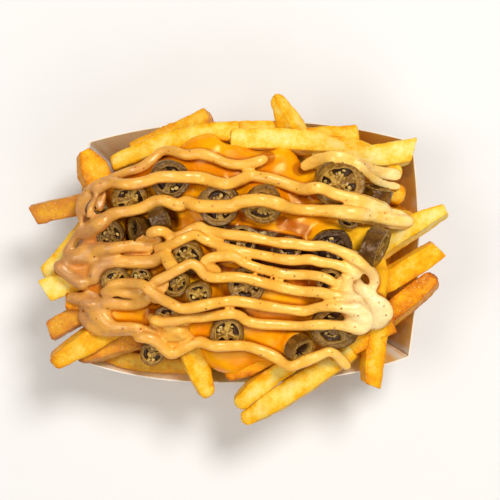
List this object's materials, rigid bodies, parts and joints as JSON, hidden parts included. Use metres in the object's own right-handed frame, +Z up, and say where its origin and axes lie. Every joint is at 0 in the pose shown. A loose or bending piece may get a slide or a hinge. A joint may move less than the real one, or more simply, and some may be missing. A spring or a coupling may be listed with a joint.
{
  "type": "tray of loaded fries",
  "caption": "Folded paperboard food tray heaped over its rim with thick-cut fries, under melted cheese sauce, pickled pepper slices and a drizzle of creamy sauce.",
  "frame": {"origin": "centre of the tray's underside", "axes": "+X along the tray's long side, +Y across it towards the back, +Z up out of the tray"},
  "size_m": [0.2004, 0.1572, 0.0856],
  "materials": {
    "board": "matte uncoated kraft board, pale inside",
    "potato": null,
    "cheese": null,
    "pepper": null,
    "drizzle": null
  },
  "bodies": {
    "root": {"tray": "board", "fries": "potato", "cheese_sauce": "cheese", "pepper_01": "pepper", "pepper_02": "pepper", "pepper_03": "pepper", "pepper_04": "pepper", "pepper_05": "pepper", "pepper_06": "pepper", "pepper_07": "pepper", "pepper_08": "pepper", "pepper_09": "pepper", "pepper_10": "pepper", "pepper_11": "pepper", "pepper_12": "pepper", "pepper_13": "pepper", "pepper_14": "pepper", "pepper_15": "pepper", "pepper_16": "pepper", "pepper_17": "pepper", "pepper_18": "pepper", "pepper_19": "pepper", "pepper_20": "pepper", "pepper_21": "pepper", "pepper_22": "pepper", "pepper_23": "pepper", "pepper_24": "pepper", "pepper_25": "pepper", "pepper_26": "pepper", "pepper_27": "pepper"}
  },
  "joints": []
}
